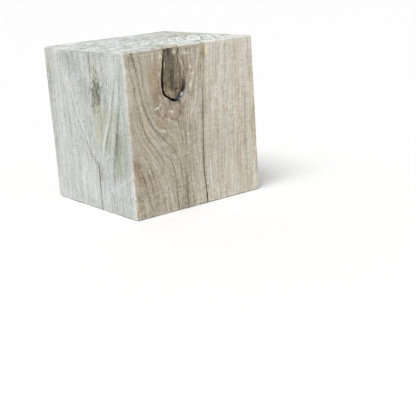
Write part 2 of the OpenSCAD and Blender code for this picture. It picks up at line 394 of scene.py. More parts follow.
def check_cut(name, rows, turned, start_and_run, seed):
    """The wedge of one drying check. turned says that it is in the left face."""
    start, run = start_and_run
    count = int(abs(run) / RING_STEP)
    shares, wanders, widths, depths = curve(rows, np.linspace(0, len(rows) - 1, count)).T
    pith = np.array([-PITH[1], PITH[0]]) if turned else PITH
    face = LEFT_X if turned else FRONT_Y
    level = np.zeros(count)
    lips = np.column_stack([pith[0] + wanders, level + face])
    way = pith - lips
    way /= np.linalg.norm(way, axis=1)[:, None]
    lips = np.column_stack([lips, start + shares * run])
    inward = np.column_stack([way, level])
    sides = np.column_stack([way[:, 1], -way[:, 0], level])
    if turned:
        lips, inward, sides = (v[:, [1, 0, 2]] * [1, -1, 1] for v in (lips, inward, sides))
    widths = np.maximum(widths, HAIR)
    depths = np.maximum(depths, 1)
    return loft(name, wedge_rings(lips, sides, inward, widths, depths, seed))


def on_knot(across, down, inward):
    """Places from shares of the knot's width and length, and mm behind the front"""
    return np.column_stack([KNOT_X + across * KNOT_W, FRONT_Y + inward, TOP_Z - down * KNOT_LEN])


def gap_line(places):
    """The middle of the bark gap, and its smoothed rows, at places counted in rows"""
    rows = curve(BARK_GAP, places)
    return on_knot(rows[:, 0], rows[:, 1], rows[:, 2] * KNOT_REACH), rows


def gap_cut():
    """The wedge of the bark gap, which runs in along the knot"""
    lips, rows = gap_line(np.linspace(0, len(BARK_GAP) - 1, 260))
    way = np.array([0, math.cos(KNOT_DIP), -math.sin(KNOT_DIP)])
    sides = np.cross(np.gradient(lips, axis=0), way)
    sides /= np.linalg.norm(sides, axis=1)[:, None]
    inward = np.tile(way, (len(lips), 1))
    return loft("gap_cut", wedge_rings(lips, sides, inward, rows[:, 3], rows[:, 4], 41))


def knot_outline():
    """The knot's edge on the front face, across x and up z"""
    gap, _ = gap_line(np.linspace(GAP_LEFT_ROW, len(BARK_GAP) - 1, 120))
    edge = curve(KNOT_RIGHT_EDGE, np.linspace(0, len(KNOT_RIGHT_EDGE) - 1, EDGE_POINTS))
    edge = on_knot(edge[:, 0], edge[:, 1], np.zeros(len(edge)))
    top_left = np.array([[gap[0, 0], 0, edge[-1, 2]]])
    return np.vstack([top_left, gap, edge])[:, [0, 2]]


def top_outline():
    """The knot's edge on the top end, across x and back y"""
    gap, _ = gap_line(np.linspace(GAP_TOP_ROW, GAP_LEFT_ROW - 1, 90))
    return gap[:, [0, 1]]


def inside(outline, px, py):
    """Whether each place lies within a closed outline"""
    result = np.zeros(len(px), dtype=bool)
    for (ax, ay), (bx, by) in zip(outline, np.roll(outline, -1, axis=0)):
        if ay == by:
            continue
        crosses = (ay > py) != (by > py)
        result ^= crosses & (px < (bx - ax) * (py - ay) / (by - ay) + ax)
    return result


def from_run(here, a, b):
    """Distance of places from the run between two rows, and how far along it they are"""
    run = (b - a)[:2]
    share = np.clip((here - a[:2]) @ run / max(run @ run, 1e-9), 0, 1)
    return np.linalg.norm(here - a[:2] - share[:, None] * run, axis=1), share


def distance_to(line, px, py):
    """Distance from each place to an open line"""
    here = np.column_stack([px, py])
    return np.min([from_run(here, a, b)[0] for a, b in zip(line, line[1:])], axis=0)


# Lumps of dried gum in the bark gap: right of the left arris, behind the front, up,
# half sizes along the slope, back and across it, and the slope in degrees
GUM = [
    (39.2, 1.15, 71.0, 2.3, 1.05, 1.45, 58),
    (36.6, 1.25, 68.8, 1.7, 1.0, 1.05, 25),
]


def lump_axes(slope):
    """Rows along a lump's slope, back, and across it"""
    a = math.radians(slope)
    return np.array([[math.cos(a), 0, math.sin(a)], [0, 1, 0], [-math.sin(a), 0, math.cos(a)]])


def gum_lump(row, seed):
    """One uneven ball of gum"""
    across, back, up, *sizes, slope = row
    bm = bmesh.new()
    bmesh.ops.create_icosphere(bm, subdivisions=3, radius=1)
    ball = np.array([v.co for v in bm.verts])
    faces = [[v.index for v in f.verts] for f in bm.faces]
    bm.free()
    ball *= 1 + 0.10 * noise(ball, (0.7, 0.7, 0.7), seed)[:, None]
    shape = (ball * np.array(sizes)) @ lump_axes(slope)
    centre = np.array([LEFT_X + across, FRONT_Y + back, up])
    name = "gum_%d" % seed
    return make_object(name, make_mesh(name, centre + shape, faces))


def in_gum(points, flat=False):
    """How far out each point lies in the nearest lump: 1 at its surface. flat leaves
    out how far back it lies."""
    best = np.full(len(points), 9.0)
    for across, back, up, *sizes, slope in GUM:
        local = (points - np.array([LEFT_X + across, FRONT_Y + back, up])) @ lump_axes(slope).T
        local = local * [1, 0, 1] if flat else local
        best = np.minimum(best, np.linalg.norm(local / np.array(sizes), axis=1))
    return best


def knot_sink(points):
    """Depth below the front of the knot's dished face, and of the dish round the gum"""
    x, y, z = points.T
    near = (np.abs(x - KNOT_X) < KNOT_W) & (z > TOP_Z - KNOT_LEN - 2) & (y < FRONT_Y + 2)
    sink = np.zeros(len(points))
    here = np.where(near)[0]
    outline = knot_outline()
    here = here[inside(outline, x[here], z[here])]
    shares = np.column_stack([(x[here] - KNOT_X) / KNOT_W, (TOP_Z - z[here]) / KNOT_LEN])
    slope = DEEPEST - FLUSH
    share = (shares - FLUSH) @ slope / (slope @ slope)
    right_edge = outline[-EDGE_POINTS:]
    fade = smooth(0, 1.6, distance_to(right_edge, x[here], z[here]))
    fibre = 0.10 * noise(points[here], (0.9, 2, 14), 51) + 0.07 * noise(points[here], (2.6, 2, 9), 52)
    sink[here] = np.clip(KNOT_SINK * share + fibre + 0.1, 0, None) * fade
    dish = 0.8 * smooth(1.75, 1.2, in_gum(points, flat=True)) * (y < FRONT_Y + 3)
    return np.maximum(sink, dish)


def chip_cut():
    """The jagged break in the bottom arris"""
    front, under = FRONT_Y - PAST, LOW[2] - PAST
    rings = []
    for along, size in curve(CHIP, np.linspace(0, len(CHIP) - 1, 17)):
        x = PITH[0] + CHIP_WANDER + along * CHIP_LEN
        size = max(size, 0.1) * (1 + 0.25 * noise(np.array([[x * 3, 0, 0]]), (1, 1, 1), 61)[0])
        up = LOW[2] + size * CHIP_HIGH + PAST
        deep = FRONT_Y + size * CHIP_DEEP + PAST
        rings.append([[x, front, under], [x, front, up], [x, deep, under]])
    return loft("chip_cut", np.array(rings))


def cut_all(block, cutters, lumps):
    """The block's mesh with every cutter taken out of it, and then the lumps joined"""
    for cutter in cutters + lumps:
        step = block.modifiers.new(cutter.name, "BOOLEAN")
        step.operation = "UNION" if cutter in lumps else "DIFFERENCE"
        step.solver = "MANIFOLD"
        step.object = cutter
    bpy.context.view_layer.update()
    graph = bpy.context.evaluated_depsgraph_get()
    mesh = bpy.data.meshes.new_from_object(block.evaluated_get(graph))
    old_meshes = [block.data] + [cutter.data for cutter in cutters + lumps]
    block.modifiers.clear()
    block.data = mesh
    for cutter in cutters + lumps:
        bpy.data.objects.remove(cutter)
    for old in old_meshes:
        bpy.data.meshes.remove(old)
    mesh.name = block.name


def make_block():
    """The whole block: a fine grid round the knot, coarser elsewhere, and then the cuts"""
    xs = grid_lines(LOW[0], HIGH[0], -26, 13, 0.6, 1.15)
    ys = grid_lines(LOW[1], HIGH[1], -47, -15, 0.7, 1.2)
    zs = grid_lines(LOW[2], HIGH[2], 62, 100, 0.6, 1.15)
    points, quads = box_grid(xs, ys, zs)
    points, out = sanded(points)
    depth = relief(points, out) + knot_sink(points)
    points = points - out * depth[:, None]
    block = make_object("oak_block", make_mesh("oak_block", points, quads))
    cutters = [
        check_cut("front_check_cut", FRONT_CHECK, False, FRONT_RUN, 3),
        check_cut("left_foot_cut", LEFT_FOOT, True, LEFT_FOOT_RUN, 5),
        check_cut("left_top_cut", LEFT_TOP, True, LEFT_TOP_RUN, 8),
        gap_cut(),
        chip_cut(),
    ]
    cut_all(block, cutters, [gum_lump(row, 90 + i) for i, row in enumerate(GUM)])
    return block


block = make_block()


def store(name, values):
    """Give each vertex a number or a vector, which the material reads by name"""
    kind, field = ("FLOAT_VECTOR", "vector") if values.ndim == 2 else ("FLOAT", "value")
    attribute = block.data.attributes.new(name, kind, "POINT")
    attribute.data.foreach_set(field, values.astype(np.float32).ravel())


def read_points():
    """Places of the block's vertices, in mm"""
    flat = np.empty(len(block.data.vertices) * 3)
    block.data.vertices.foreach_get("co", flat)
    return flat.reshape(-1, 3) / MM


points = read_points()
place, rings, spread = tree_field(points)
store("trunk", place)
store("rings", rings)
store("turns", ring_count(rings))
store("spread", spread)

FRONT, LEFT, TOP = "front", "left", "top"
# How far the photo's line of sight moves right and down for each mm behind the front,
# and the depth to which the marks on the front are moved to allow for it
SIGHT_RIGHT = 0.75
SIGHT_DOWN = 0.35
SUNK_MOST = 1.2


def depth_inside():
    """Depth of each point below the sanded form, 0 or more"""
    out = np.abs(points - MIDDLE) - (HALF - ARRIS)
    beyond = np.linalg.norm(np.maximum(out, 0), axis=1)
    return np.clip(ARRIS - beyond - np.minimum(out.max(axis=1), 0), 0, None)


def as_seen(across, up, sunk):
    """Where places that are sunk below the front appear on it in the photo"""
    sunk = np.minimum(sunk, SUNK_MOST)
    return across - SIGHT_RIGHT * sunk, up + SIGHT_DOWN * sunk


def on_face(face):
    """Places in mm across a face and up it, from its left foot as it is seen from
    outside, and how far behind it each point lies"""
    x, y, z = points.T
    if face == FRONT:
        return *as_seen(x - LEFT_X, z, y - FRONT_Y), y - FRONT_Y
    if face == LEFT:
        return HIGH[1] - y, z, x - LEFT_X
    return x - LEFT_X, y - FRONT_Y, TOP_Z - z


def patch(face, seed, across, up, wide, high, strength, lean=0.0, ragged=0.35):
    """Soft-edged patch on one face: its middle, as on_face gives it, half its width and
    height in mm, and how far it leans to the right for each mm up"""
    a, b, off = on_face(face)
    b = b - up
    a = a - across - b * lean
    far = np.sqrt((a / wide) ** 2 + (b / high) ** 2)
    far += ragged * (noise(points, (3.5, 3.5, 7), seed) + 0.6 * noise(points, (1.5, 1.5, 3), seed + 1))
    return strength * smooth(1.45, 0.4, far) * smooth(4, 1.5, off)


def patches(face, rows):
    """All the patches of one face, from rows of what patch needs, added up"""
    return sum(patch(face, *row) for row in rows)


def tints(face, rows):
    """Parts for tint: rows of red, green and blue, and then what patch needs"""
    return [(patch(face, *row[3:]), *row[:3]) for row in rows]


def stripe(face, seed, strength, ragged, rows):
    """Soft band on one face, through rows of mm across, mm up and half its width"""
    across, up, off = on_face(face)
    here = np.column_stack([across, up])
    line = curve(rows, np.linspace(0, len(rows) - 1, 6 * len(rows)))
    far = np.min([from_run(here, a, b)[0] / a[2] for a, b in zip(line, line[1:])], axis=0)
    far += ragged * noise(points, (2, 2, 5), seed)
    return strength * smooth(1.3, 0.3, far) * smooth(4, 1.5, off)


def nearest_line(lines):
    """Distance of each place from the nearest line, in its half widths, and how strong
    that line is there"""
    shares = np.full(len(points), 9.0)
    strengths = np.zeros(len(points))
    for face, width, rows in lines:
        across, up, off = on_face(face)
        near = np.where(off < 1.5)[0]
        here = np.column_stack([across, up])[near]
        line = curve(rows, np.linspace(0, len(rows) - 1, 5 * len(rows)))
        best, strong = shares[near], strengths[near]
        for a, b in zip(line, line[1:]):
            far, share = from_run(here, a, b)
            strong = np.where(far / width < best, a[2] + share * (b[2] - a[2]), strong)
            best = np.minimum(best, far / width)
        shares[near], strengths[near] = best, strong
    return shares, strengths


def tint(parts):
    """Colour by which each place is multiplied, from masks and ratios on a screen"""
    whole = np.ones((len(points), 3))
    for mask, *ratio in parts:
        whole *= 1 - mask[:, None] * (1 - np.array(ratio))
    return np.clip(whole, 0, 2) ** 2.2


# Lines along the grain, and one painted highlight among the pale ones: the face, half the width in mm,
# and rows of mm across, mm up and strength
DARK_LINES = [
    (FRONT, 1, [
        (5.8, 99, 1.3), (6.2, 96, 1.4), (8.1, 90, 1.3), (9.2, 83.3, 1), (9.7, 76.7, 1), (11.1, 68.9, 1.1),
        (13.3, 62.2, 1), (16.2, 55.6, 1), (19.6, 50.3, 0.9), (23.7, 46.3, 0.5), (26.7, 42.7, 0.3),
        (28.4, 34, 0.2),
    ]),
    (FRONT, 0.8, [
        (3.2, 97, 0.8), (4.2, 90, 1.1), (5.6, 82.2, 0.9), (6.1, 76.7, 0.9), (6.9, 68.9, 0.7),
        (8.3, 62.2, 0.8), (10.6, 52.8, 0.8), (13.9, 46.1, 0.7), (17.2, 41.1, 0.4), (21.3, 35.3, 0.3),
        (23, 32, 0.2),
    ]),
    (FRONT, 0.7, [(11.2, 96, 0.6), (12.2, 88, 0.8), (12.2, 80, 0.6), (13.2, 73, 0.6), (15.2, 66, 0.4)]),
    (FRONT, 0.6, [(16.2, 97, 0.5), (16.6, 91, 0.5), (16.2, 84, 0.3)]),
    (FRONT, 0.9, [
        (9, 29, 0.1), (10.6, 26.7, 0.3), (12.4, 22, 0.35), (14.8, 13.3, 0.3), (16, 6.7, 0.3),
        (16.4, 0, 0.2),
    ]),
    (FRONT, 0.55, [(6.2, 24, 0.1), (7.6, 19, 0.35), (9.4, 12, 0.3), (10.6, 4, 0.2)]),
    (LEFT, 1.25, [
        (83.4, 86, 0.2), (82.6, 83, 0.5), (80.2, 76.4, 0.5), (76.9, 67.9, 0.6), (73.6, 58.5, 0.75),
        (69.8, 50.6, 1), (67.3, 44.5, 0.8), (63.8, 37, 0.4), (61.5, 31, 0.1),
    ]),
    (LEFT, 1.35, [
        (88, 86, 0.3), (87.3, 81, 0.5), (85.4, 71.7, 0.6), (83.5, 62.3, 0.85), (81.1, 53.8, 1),
        (78.8, 47.2, 0.9), (75.9, 38.7, 0.9), (74.1, 32, 0.8), (72.2, 24.5, 0.5), (71.6, 20, 0.1),
    ]),
    (LEFT, 1, [
        (26.6, 79, 0.2), (30.4, 70, 0.35), (35.6, 56.6, 0.35), (41.6, 46, 0.4), (47.2, 35.8, 0.6),
        (51.4, 32, 0.6), (55.2, 29.2, 0.4),
    ]),
    (LEFT, 0.6, [(12, 94, 0.25), (12.8, 84, 0.4), (14.6, 74, 0.3), (15.6, 62, 0.1)]),
    (LEFT, 0.5, [(55.9, 71, 0.3), (56.2, 67, 0.6), (56, 63, 0.3)]),
]
PALE_LINES = [
    (FRONT, 0.8, [
        (12.4, 70, 0.1), (14, 64, 0.4), (16.2, 58.5, 0.7), (19.3, 53.6, 0.9), (22.6, 51.2, 1),
        (25.6, 50.4, 0.8),
    ]),
    (FRONT, 0.7, [(9.6, 92, 0.5), (10.6, 82, 0.6), (11.4, 74, 0.5), (13, 67.5, 0.5), (14.6, 63.6, 0.2)]),
    (FRONT, 0.7, [(2.4, 97, 0.3), (5.2, 88, 0.6), (6.9, 80, 0.7), (7.6, 73, 0.6), (8.4, 67, 0.2)]),
    (FRONT, 0.7, [
        (13.9, 98, 0.7), (14.2, 93, 0.7), (14.4, 86, 0.4), (14.8, 79, 0.6), (16.2, 73, 0.5),
        (18, 68.6, 0.1),
    ]),
    (FRONT, 0.7, [
        (12, 53.5, 0.1), (15, 47, 0.4), (18.6, 42.4, 0.6), (22, 37.6, 0.5), (23.8, 32, 0.4),
        (25.4, 26, 0.2),
    ]),
    (FRONT, 0.7, [(18.9, 64.5, 0.5), (20.6, 64.9, 0.9), (22.2, 65.6, 0.9), (23.2, 66.6, 0.7)]),
    (FRONT, 0.5, [(58.4, 85, 0.2), (58, 81, 1), (57.6, 77, 1.1), (57.3, 75, 0.3)]),
    # painted highlight: the thin bright line of light along the left wall of the bark gap
    (FRONT, 0.42, [(28, 92.6, 0.3), (28.35, 91, 1.4), (28.3, 89.4, 1.4), (28.05, 87.4, 0.3)]),
    (LEFT, 1.4, [
        (82.4, 90, 0.3), (81.1, 84, 0.5), (78.4, 76.4, 0.6), (75.3, 67.9, 0.7), (72, 58.5, 0.8),
        (67.9, 50.9, 0.9), (64.4, 44.3, 0.9), (61.8, 35.8, 0.8), (60.2, 31, 0.4),
    ]),
    (LEFT, 1.6, [
        (85, 82, 0.3), (81.6, 70, 0.35), (78, 59.4, 0.5), (75.2, 50, 0.5), (73.2, 43, 0.5), (71.6, 35, 0.5),
        (70.6, 28, 0.5), (69.6, 16, 0.3),
    ]),
    (LEFT, 1.2, [
        (22.2, 87.7, 0.2), (26.4, 82, 0.5), (29.2, 77.4, 0.6), (34.6, 63, 0.7), (38.6, 55, 0.8),
        (42.5, 49, 0.8), (46.2, 42.5, 0.7), (47.4, 39.6, 0.2),
    ]),
    (LEFT, 1.3, [(19.3, 91.5, 0.3), (23.6, 82, 0.5), (26.4, 66, 0.45), (28.3, 57.5, 0.2)]),
    (LEFT, 1.3, [
        (11.6, 97, 0.4), (13.6, 88, 0.5), (15.6, 75.5, 0.5), (16.6, 62, 0.4), (17.4, 42, 0.35),
        (17.4, 24, 0.2),
    ]),
    (LEFT, 0.7, [(58, 21, 0.5), (58.3, 10, 0.6), (58.5, 0, 0.4)]),
    (LEFT, 0.6, [(53.2, 96, 0.4), (53, 88, 0.6), (52.4, 81, 0.3)]),
    (LEFT, 0.9, [(73, 17, 0.2), (79, 19.6, 0.5), (86, 23.4, 0.6), (93, 27, 0.4)]),
]

for name, grain_lines in (("dark", DARK_LINES), ("pale", PALE_LINES)):
    shares, strengths = nearest_line(grain_lines)
    store(name + "_far", shares)
    store(name + "_line", strengths)

depth = depth_inside()
x, y, z = points.T
across, behind, below = x - LEFT_X, y - FRONT_Y, TOP_Z - z
along = HIGH[1] - y
on_front = smooth(1.5, 0.1, behind)
on_left = smooth(1.5, 0.1, across)
on_top = smooth(1.5, 0.1, below)
hidden = (1 - on_front) * (1 - on_left) * (1 - on_top)
gum = in_gum(points)
# walls of the checks and of the gap, which the material paints darker as painted shade in these recesses
store("inner", smooth(0.3, 1.2, depth - knot_sink(points)) * smooth(1.05, 1.2, gum))
store("gum", smooth(1.25, 1.1, gum))
store("end", 1 - smooth(0.2, 1.3, np.minimum(below, z - LOW[2])))
# everything but the front is cooler in colour, which is painted cool light from the left, a little
# less so at the right and the back, but not on the left of the top end
cool_light_sides = (1 - 0.35 * smooth(30, 46, x)) * (1 - 0.35 * smooth(30, 46, y)) * (1 - 0.25 * hidden)
cool_light_top = smooth(4, 1, below) * smooth(25, 10, x)
store("cool_light", (1 - on_front) * np.maximum(cool_light_sides, cool_light_top))

# distance in from the knot's edge, and from the middle of its bark gap as a share of
# the half width of the dark bark there: outside it, inside it, and how black it is
BARK = [[0.3, 0.3, 0.35]] * 11 + [
    [0.2, 0.3, 0.4], [0.2, 0.4, 0.45], [0.2, 0.9, 0.8], [0.45, 1.05, 0.9], [0.6, 1.05, 1],
    [0.7, 0.95, 1], [0.95, 0.75, 1], [0.9, 0.65, 1], [0.95, 0.75, 1], [1.15, 0.8, 1],
    [1.1, 0.85, 1], [0.8, 0.9, 0.95], [0.7, 0.7, 0.85], [1.3, 0.5, 0.7], [1.4, 0.4, 0.5],
    [1, 0.4, 0.4],
]
# The knot's face ends this high up, at the rounded arris
KNOT_TOP = 99.1
knot = np.full(len(points), -9.0)
rim = np.full(len(points), 9.0)
bark = np.zeros(len(points))
for edge, first, last, axes, here in (
    (knot_outline(), GAP_LEFT_ROW - 1, len(BARK_GAP) - 1, (0, 2), (behind < 4) & (z > 60)),
    (top_outline(), GAP_TOP_ROW - 1, GAP_LEFT_ROW - 1, (0, 1), (below < 1.2) & (behind > 0.7)),
):
    here = np.where(here & (y < -20) & (np.abs(x - KNOT_X) < KNOT_W))[0]
    a, b = points[here][:, axes].T
    within = inside(edge, a, b)
    if axes == (0, 2):
        far = distance_to(edge, a, b)
        knot[here] = np.minimum(np.where(within, far, -far), KNOT_TOP - b)
        a, b = as_seen(a, b, behind[here])
    rows = np.linspace(first, last, 16 * (last - first))
    line, _ = gap_line(rows)
    widths = curve(BARK, rows)
    far = np.hypot(a[:, None] - line[:, axes[0]], b[:, None] - line[:, axes[1]])
    nearest = far.argmin(axis=1)
    half = np.where(within, widths[nearest, 1], widths[nearest, 0])
    share = far.min(axis=1) / np.maximum(half, 0.05)
    bark[here] = np.where(share < rim[here], widths[nearest, 2], bark[here])
    rim[here] = np.minimum(rim[here], share)
store("knot", np.clip(knot, -9, 9))
store("rim", rim)
store("bark", bark)

# distance from the stain along each check, and how strong the stain is there; the
# stain of the check at the top of the left face is narrower
crack = np.full(len(points), 9.0)
stain = np.zeros(len(points))
for rows, (start, run), face, narrow, marks in (
    (FRONT_CHECK, FRONT_RUN, FRONT, 1, [0, 0.5, 0.65, 0.45, 0.55, 0.6, 0.6, 0.3, 0.1, 0, 0]),
    (LEFT_FOOT, LEFT_FOOT_RUN, LEFT, 1, [0.3, 0.4, 0.5, 0.75, 0.8, 0.6, 0.3]),
    (LEFT_TOP, LEFT_TOP_RUN, LEFT, 1.5, [0.3, 0.5, 0.7, 0.7, 0.3]),
):
    a, up, off = on_face(face)
    share = (up - start) / run
    places, wanders = np.array(rows)[:, :2].T
    middle = PITH[0] - LEFT_X if face == FRONT else HIGH[1] - PITH[1]
    middle = middle + np.interp(share, places, wanders)
    far = np.hypot(a - middle, np.maximum(share - 1, 0) * abs(run) * 2) * narrow
    near = (off < 1.6) & (far < crack)
    crack[near] = far[near]
    stain[near] = np.interp(share, np.linspace(0, 1, len(marks)), marks)[near]
store("crack", crack)
store("stain", stain)

# the paler arrises: partly rubbed lime, partly a painted highlight where their rounding catches light; less
# of both round the top end
from_arris = np.sort(np.minimum(points - LOW, HIGH - points), axis=1)[:, 1]
rub_and_highlight = np.where((below < 2) & (x > 8), 0.5, 1.0)
rub_and_highlight = np.where((below < 2) & (behind > 3), 0.3, rub_and_highlight)
store("arris", smooth(1.9, 0.5, from_arris) * (depth < 0.8) * rub_and_highlight)

# Rows of a patch: its seed, mm across and up to its middle, half its width and height,
# its strength, and where they aren't 0 and 0.35, its lean and how ragged its edge is.
# First the glints on the gum: painted highlights, mixed into its colour.
store("painted_glint", np.clip(patches(FRONT, [
    (216, 39.4, 71.2, 0.75, 1.5, 1, 0.45, 0), (217, 37.4, 69.2, 0.8, 0.35, 0.5, 0, 0),
    (218, 33.8, 68.6, 0.5, 0.3, 0.35, 0, 0),
]), 0, 1))
# The pale sliver at the top of the knot
store("sliver", np.clip(patches(FRONT, [
    (120, 36, 97.3, 2.2, 2.7, 1, 0, 0.15), (121, 38.5, 97.2, 0.5, 2.8, -1.6, 0, 0.1),
]), 0, 1))
# Dead wood over a buried knot on the left face
store("dead", np.clip(patches(LEFT, [
    (219, 60.2, 75.4, 6.6, 11, 0.62, 0.05, 0.4), (220, 60, 80.4, 4.5, 4, 0.4, 0, 0.4),
    (221, 62, 70.5, 3.2, 4.2, 0.45, 0.1, 0.4), (222, 58, 74.6, 3.2, 3, 0.3, 0, 0.4),
    (228, 60, 88, 4.5, 3.5, 0.3, 0, 0.5), (166, 60.8, 75, 1.1, 0.9, 0.9, 0, 0.2),
    (167, 56.6, 75.6, 0.9, 0.9, 0.8, 0, 0.2), (168, 63.4, 69, 0.9, 1.6, 0.6, 0, 0.2),
    (223, 64.4, 74, 1.6, 6, 0.4, 0, 0.4), (224, 55.6, 66.4, 1.4, 1.8, 0.6, 0, 0.3),
    (170, 59.4, 77.2, 1, 0.5, -0.5, 0, 0.2), (171, 59.4, 68.4, 1, 1.4, -0.6, 0, 0.2),
]), 0, 2))
# Flecks of lime in torn grain
store("fleck", np.clip(sum([
    patches(FRONT, [
        (200, 20, 94.4, 2, 2.2, 0.62, 0.3, 0.5), (201, 26, 95.4, 2, 1.9, 1.2, 0.3, 0.3),
        (202, 15, 96.5, 2.6, 3.4, 0.75, 0, 0.3), (225, 24.2, 85, 1, 5, 0.6, 0.1, 0.3),
        (203, 20.8, 65.2, 2.3, 1, 1.05, 0.5, 0.3), (204, 23.3, 66.6, 0.8, 1.7, 1.1, 0, 0.3),
        (205, 30.8, 61.6, 2.2, 0.9, 1, -0.5, 0.3), (206, 24, 52, 3.4, 0.8, 0.95, 0, 0.3),
        (207, 19, 56.5, 1, 3, 0.5, -0.6, 0.3), (208, 27.8, 57, 2.6, 4, 0.55, -0.5, 0.3),
        (209, 44.7, 94.9, 2.4, 1, 1.25, -0.5, 0.3), (210, 46.4, 76, 1, 2.8, 1.15, 0.3, 0.3),
        (211, 48.6, 83, 0.8, 2.8, 1, 0.25, 0.3), (212, 36, 58, 8, 3, 0.42, 0, 0.3),
        (268, 25, 62, 4, 3, 0.5, 0, 0.3), (269, 21, 80, 6, 14, 0.22, 0, 0.3),
        (270, 44.5, 88, 5, 10, 0.38, 0, 0.3), (273, 54.9, 12.8, 0.7, 0.8, 1.1, 0, 0.2),
        (274, 57.4, 1.6, 2.8, 0.8, 1, 0.3, 0.3), (275, 48.6, 1.8, 3.2, 0.7, 1.1, 0, 0.3),
    ]),
    patches(LEFT, [
        (226, 73, 79, 6, 9, 0.5, 0.3, 0.3), (213, 53, 76, 1, 1.6, 0.6, 0, 0.3),
        (214, 66.5, 80, 1.2, 2.4, 0.7, 0.3, 0.3), (215, 57, 79, 5, 6, 0.45, 0, 0.3),
    ]),
]), 0, 1.2))
